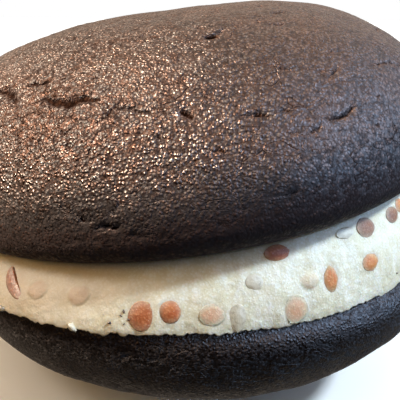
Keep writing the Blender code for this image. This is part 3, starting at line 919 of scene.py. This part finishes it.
def crack_shade_lines(g, places, fine, middle):
    """How much painted shade a crack has: the modelled ones with ragged edges, and here and there a
    fine line between two patches of skin."""
    modelled = g.total((g.painted("crack"), 1.0), (fine, 0.7), (middle, 0.5))
    lines = g.cells(g.warp(g.places((1, 1, 2.2)), 1.5, 0.55), 3.8, "DISTANCE_TO_EDGE")
    lines = g.times(g.span(lines, 0.004, 0.03, 1.0, 0.0),
                    g.span(g.noise(places, 4.5, 2), 0.53, 0.62))
    return g.larger(g.span(modelled, 0.85, 1.2), g.times(lines, 0.8))


def painted_gap_shade(g, places, grains, fine, medium):
    """Painted shade between the grains, in small pits and round flakes of skin."""
    between = g.times(g.span(grains, 0.1, 0.52, 1.0, 0.0), g.span(fine, 0.35, 0.49))
    pits = g.span(medium, 0.35, 0.44, 1.0, 0.0)
    flakes = g.cells(g.warp(places, 1.1, 0.5), 1.5, "DISTANCE_TO_EDGE")
    flakes = g.times(g.span(flakes, 0.03, 0.12, 1.0, 0.0),
                     g.span(g.noise(places, 2.6, 2), 0.42, 0.52))
    return g.larger(g.larger(between, pits), flakes)


def crust_material(name, dark, light, *, cell, bump, roughness, specular, fine_side):
    """Cocoa crust: fine pebbled grain, glossy on the grains and matt between them, with painted
    shade in its cracks, between its grains and along its rim. fine_side is the share of the
    relief that is left where the grain is fine."""
    material, g, shader = new_material(name, {"Specular IOR Level": specular})
    places = g.places()
    warped = g.warp(places, 0.6, 0.16)
    grains = g.span(g.cells(warped, cell), 0.0, 0.62, 1.0, 0.0)
    chance = g.add("SeparateColor", {0: g.cells(warped, cell, output="Color")}).outputs[0]
    fine = g.noise(places, 0.26, 2, 0.55)
    medium = g.noise(places, 0.75, 2)
    middle = g.noise(places, 1.3, 3)
    broad = g.noise(places, 9, 2)
    rim = g.painted("rim")
    east, _, up = g.add("SeparateXYZ", {0: places}).outputs
    coarse = g.times(g.span(east, COARSE_AT, FINE_AT, 1.0, fine_side),
                     g.span(up, *CALM_BELOW, CALM_SHARE, 1.0))
    # Painted shade in the cracks and in the gaps between the grains.
    crack = crack_shade_lines(g, places, fine, middle)
    gap_shade = g.times(painted_gap_shade(g, places, grains, fine, medium), coarse)
    deep = g.larger(crack, g.times(gap_shade, 0.95))

    # The tone is lower along the rim as painted shade.
    tone = g.total((grains, 0.25), (middle, 0.3), (medium, 0.45), (broad, 0.3), (fine, 0.45),
                   (chance, 0.15), (rim, -0.35))
    colour = g.blend(g.span(tone, 0.68, 1.16), dark, light)
    # Painted shade: the cracks and the gaps between the grains go towards black.
    colour = g.blend(g.times(deep, 0.92), colour, SHADE_BLACK)
    gloss = g.total((g.span(chance, 0.2, 0.7), -0.34), (g.span(grains, 0.1, 0.4), -0.12),
                    (g.span(fine, 0.42, 0.54), -0.12), (crack, 0.4), (rim, 0.2))
    height = g.total((grains, 1.0), (fine, 0.55), (medium, 0.5), (middle, 0.7), (crack, -2.0))
    strength = g.times(g.span(rim, 0.1, 1.0, 1.0, 0.6), coarse)
    # Painted shade: the cracks and gaps, and partly the rim, are made a black metal, which takes no
    # grey haze, so they stay dark in the sheen.
    g.feed(shader, {"Metallic": g.larger(deep, g.times(rim, 0.7)), "Base Color": colour,
                    "Roughness": g.plus(gloss, roughness),
                    "Normal": g.bump(height, bump, strength)})
    return material


def cream_material():
    """Ivory cream, smooth, with fine sand in it and faint smears: matt, and darker and warmer with
    painted shade, on the left; wet with drops on the right."""
    material, g, shader = new_material("cream", {
        "Specular IOR Level": 0.3, "Subsurface Weight": 0.35,
        "Subsurface Radius": (1.0, 0.75, 0.5), "Subsurface Scale": 1.2 * MM})
    places = g.places()
    sand = g.span(g.cells(g.warp(places, 0.8, 0.2), 0.36), 0.1, 0.6, 1.0, 0.0)
    fine = g.noise(places, 0.25, 3)
    smear = g.noise(g.places((1, 1, 0.3)), 1.4, 3)
    broad = g.noise(places, 5, 3)
    east = g.add("SeparateXYZ", {0: places}).outputs[0]
    tone = g.total((sand, 0.25), (fine, 0.35), (smear, 0.7), (broad, 0.6))
    colour = g.blend(g.span(tone, 0.75, 1.1), rgb(229, 224, 197), rgb(249, 250, 240))
    # Painted warm shade on the left side.
    colour = g.blend(g.span(east, *WARM_SHADE_WITHIN, 0.55, 0.0), colour, rgb(216, 191, 146))
    stained = g.blend(g.noise(places, 0.7, 3), rgb(205, 165, 122), rgb(222, 192, 152))
    colour = g.blend(g.times(g.painted("stain"), 0.8), colour, stained)
    wet = g.span(g.total((east, 1.0), (broad, 30.0)), *WET_WITHIN)
    drops = g.span(g.cells(g.warp(places, 0.7, 0.25), 0.55), 0.16, 0.26, 1.0, 0.0)
    drops = g.times(g.times(drops, wet), g.span(fine, 0.42, 0.5))
    height = g.total((sand, 0.2), (fine, 0.6), (smear, 1.4), (g.noise(places, 0.8, 3), 1.0),
                     (drops, 0.3))
    gloss = g.total((wet, -0.22), (drops, -0.35))
    g.feed(shader, {"Base Color": colour, "Roughness": g.plus(gloss, 0.72),
                    "Normal": g.bump(height, 0.055)})
    return material


def candy_material(look):
    """Sugar candy: clouded colour, tiny pale crystals and a rough, shiny skin."""
    deep, pale, roughness, fade = CANDY_LOOKS[look]
    material, g, shader = new_material(f"candy_{look}", {
        "Specular IOR Level": 0.16, "Subsurface Weight": 0.7,
        "Subsurface Radius": (1.0, 0.55, 0.4), "Subsurface Scale": 1.0 * MM})
    places = g.places()
    cloud = g.noise(places, 0.9, 4, 0.6)
    grains = g.span(g.cells(g.warp(places, 0.5, 0.15), 0.34), 0.08, 0.6, 1.0, 0.0)
    fine = g.noise(places, 0.18, 2)
    crystals = g.span(g.cells(places, 0.5), 0.08, 0.15, 1.0, 0.0)
    colour = g.blend(g.span(g.total((cloud, 0.8), (grains, 0.3)), 0.35, 0.75), deep, pale)
    colour = g.blend(g.times(crystals, 0.4), colour, SUGAR)
    colour = g.blend(g.times(g.painted("edge"), fade), colour, CREAM_TINT)
    height = g.total((grains, 0.6), (fine, 0.5), (crystals, 0.5))
    g.feed(shader, {"Base Color": colour, "Normal": g.bump(height, 0.03),
                    "Roughness": g.span(fine, 0.3, 0.7, roughness - 0.1, roughness + 0.15)})
    return material


def clear_material():
    """Clear candy: greyish, half see-through, with faint clouds."""
    material, g, shader = new_material("candy_clear", {
        "IOR": 1.45, "Transmission Weight": 0.15, "Specular IOR Level": 0.3})
    places = g.places()
    cloud = g.noise(places, 0.7, 4, 0.6)
    colour = g.blend(g.span(cloud, 0.3, 0.7), rgb(206, 197, 176), rgb(236, 231, 216))
    colour = g.blend(g.times(g.painted("edge"), 0.35), colour, rgb(196, 189, 172))
    g.feed(shader, {"Base Color": colour, "Roughness": g.span(cloud, 0.3, 0.7, 0.24, 0.4),
                    "Normal": g.bump(g.noise(places, 0.3, 3), 0.03)})
    return material


def crumb_material():
    """Dark cocoa crumbs."""
    material, g, shader = new_material("crumbs")
    places = g.places()
    g.feed(shader, {
        "Base Color": g.blend(g.noise(places, 0.3, 3), rgb(38, 20, 13), rgb(88, 48, 32)),
        "Roughness": g.span(g.noise(places, 0.2), 0.3, 0.7, 0.45, 0.7),
        "Normal": g.bump(g.noise(places, 0.15, 3), 0.06)})
    return material


# The stage --------------------

def new_stage(name, mesh, material):
    """Something round the pie that throws no light or reflection on it."""
    mesh.materials.append(material)
    obj = new_object(name, mesh)
    obj.visible_glossy = False
    obj.visible_diffuse = False
    return obj


def make_floor():
    corners = FLOOR_HALF * np.array([[-1, -1, 0], [1, -1, 0], [1, 1, 0], [-1, 1, 0]])
    mesh = mesh_from("floor", corners, np.array([[0, 1, 2], [0, 2, 3]]))
    material, g, shader = new_material("floor", {"Roughness": 0.8})
    shade = g.blend(g.noise(g.places(), 40, 2), rgb(240, 240, 238), rgb(244, 244, 243))
    g.feed(shader, {"Base Color": shade})
    floor = new_stage("floor", mesh, material)


def make_backdrop():
    """A pale wall all round, far away; it lights nothing."""
    low = circle(BACKDROP_RADIUS, even_angles(BACKDROP_SIDES), 0.0)
    first = np.arange(BACKDROP_SIDES)
    after = (first + 1) % BACKDROP_SIDES
    triangles = np.vstack([np.c_[first, first + BACKDROP_SIDES, after],
                           np.c_[after, first + BACKDROP_SIDES, after + BACKDROP_SIDES]])
    mesh = mesh_from("backdrop", np.vstack([low, low + (0, 0, BACKDROP_HEIGHT)]), triangles)
    material, _, _ = new_material("backdrop", {
        "Base Color": rgb(0, 0, 0), "Roughness": 1.0, "Emission Color": rgb(255, 255, 255),
        "Emission Strength": 1.0})
    backdrop = new_stage("backdrop", mesh, material)
    backdrop.visible_shadow = False


def make_camera():
    back = Vector((0, -cos(CAMERA_RISE), sin(CAMERA_RISE)))
    right = Vector((1, 0, 0))
    up = back.cross(right)
    side = cos(CAMERA_ROLL) * right + sin(CAMERA_ROLL) * up
    turn = Matrix((side, back.cross(side), back)).transposed().to_4x4()
    data = bpy.data.cameras.new("camera")
    data.sensor_width = SENSOR
    data.lens = FOCAL_PIXELS / PICTURE_PIXELS * SENSOR
    data.clip_start = 5 * MM
    camera = new_object("camera", data)
    camera.matrix_world = Matrix.Translation(AIM + back * CAMERA_AWAY) @ turn
    bpy.context.scene.camera = camera


def way_to(azimuth, rise):
    azimuth, rise = radians(azimuth), radians(rise)
    level = cos(rise)
    return Vector((level * cos(azimuth), level * sin(azimuth), sin(rise)))


def new_light(name, kind, azimuth, rise, colour, power):
    """A light that shines on the pie; azimuth 0 is +X and 270 is in front."""
    data = bpy.data.lights.new(name, kind)
    data.color = colour
    data.energy = power
    light = new_object(name, data)
    light.rotation_euler = way_to(azimuth, rise).to_track_quat("Z", "Y").to_euler()
    return light


def soft_light(name, azimuth, rise, size, colour, power):
    """A square light near the pie."""
    light = new_light(name, "AREA", azimuth, rise, colour, power)
    light.data.size = size
    light.location = AIM + way_to(azimuth, rise) * LIGHT_AWAY
    return light


def make_world():
    """Dim soft surroundings, warmer on the left, brighter behind and above."""
    world = bpy.data.worlds.new("studio")
    bpy.context.scene.world = world
    world.use_nodes = True
    g = Graph(world.node_tree)
    way = g.add("SeparateXYZ", {0: g.add("TexCoord").outputs["Generated"]}).outputs
    tint = g.blend(g.span(way[0], -0.8, 0.8), (1.0, 0.74, 0.52, 1), (0.90, 0.86, 0.79, 1))
    low = g.times(g.span(way[2], -0.1, 0.05, 0.03, 0.13), g.span(way[1], -0.3, 0.7, 1.0, 7.0))
    level = g.plus(low, g.span(way[2], 0.3, 0.95, 0.0, 0.6))
    background = g.add("Background", {"Color": tint, "Strength": level})
    g.add("OutputWorld", {"Surface": background.outputs[0]})


def make_lights():
    """A key light for the forms alone, two for the sheen alone, warm left and cool right, and a
    weak warm one."""
    make_world()
    key = new_light("key", "SUN", azimuth=351, rise=51, colour=(0.86, 1.0, 1.13), power=3.8)
    key.data.angle = radians(8)
    key.visible_glossy = False
    soft_light("warm_left", azimuth=210, rise=30, size=0.2, colour=(1.0, 0.60, 0.20), power=0.45)
    sheen = soft_light("sheen_left", azimuth=197, rise=46, size=0.14, colour=(1.0, 0.85, 0.67),
                       power=25)
    sheen.visible_diffuse = False
    window = soft_light("cool_window", azimuth=338, rise=27, size=0.6, colour=(0.37, 0.63, 1.0),
                        power=11.4)
    window.visible_diffuse = False


def main():
    bpy.context.scene.view_settings.view_transform = "Standard"
    make_camera()
    make_lights()
    make_floor()
    make_backdrop()

    upper_skin = crust_material("upper_crust", rgb(36, 13, 4), rgb(101, 62, 40), cell=0.42,
                                bump=0.17, roughness=0.86, specular=0.5, fine_side=0.6)
    lower_skin = crust_material("lower_crust", rgb(38, 18, 8), rgb(76, 47, 31), cell=0.40,
                                bump=0.30, roughness=0.61, specular=1.0, fine_side=1.0)
    hairlines = [Crack(*row, HAIRLINE_WIDTH, HAIRLINE_DEPTH) for row in HAIRLINES]
    hairlines += loose_hairlines(UPPER, LOOSE_HAIRLINES["upper"])
    make_cake("top_cake_crumb", UPPER, UPPER_CRACKS + back_cracks(UPPER), hairlines, UPPER_STEP,
              UPPER.height, upper_frame(), UPPER_GRAIN, upper_skin)
    make_cake("bottom_cake_crumb", LOWER, LOWER_CRACKS,
              loose_hairlines(LOWER, LOOSE_HAIRLINES["lower"]), LOWER_STEP, LOWER_TOP,
              lower_frame(), LOWER_GRAIN, lower_skin)
    beads = FRONT_CANDY + beads_behind()
    skin = make_cream(beads, cream_material())
    make_beads(beads, skin)
    make_crumbs(crumb_material(), skin)


main()
bpy.context.view_layer.update()
